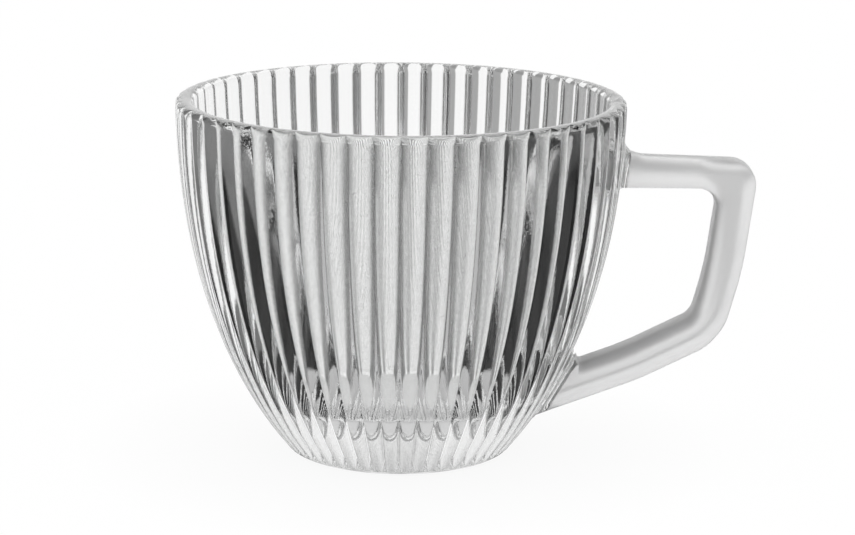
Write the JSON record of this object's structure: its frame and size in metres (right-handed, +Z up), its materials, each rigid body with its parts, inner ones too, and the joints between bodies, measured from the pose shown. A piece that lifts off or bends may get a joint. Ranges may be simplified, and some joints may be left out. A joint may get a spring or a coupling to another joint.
{
  "type": "glass cup",
  "caption": "Clear pressed-glass cup for tea or coffee, with upright ribs, a thick base and a frosted angular handle.",
  "frame": {"origin": "centre of the flat underside, on the cup's axis and on the surface that the cup stands on", "axes": "+Z up along the cup's axis, +X towards the handle"},
  "size_m": [0.1228, 0.0948, 0.076],
  "materials": {
    "clear_glass": "clear, fire-polished",
    "frosted_glass": "frosted"
  },
  "bodies": {
    "root": {"bowl": "clear_glass", "upper_collar": "clear_glass", "lower_collar": "clear_glass", "handle": "frosted_glass"}
  },
  "joints": []
}
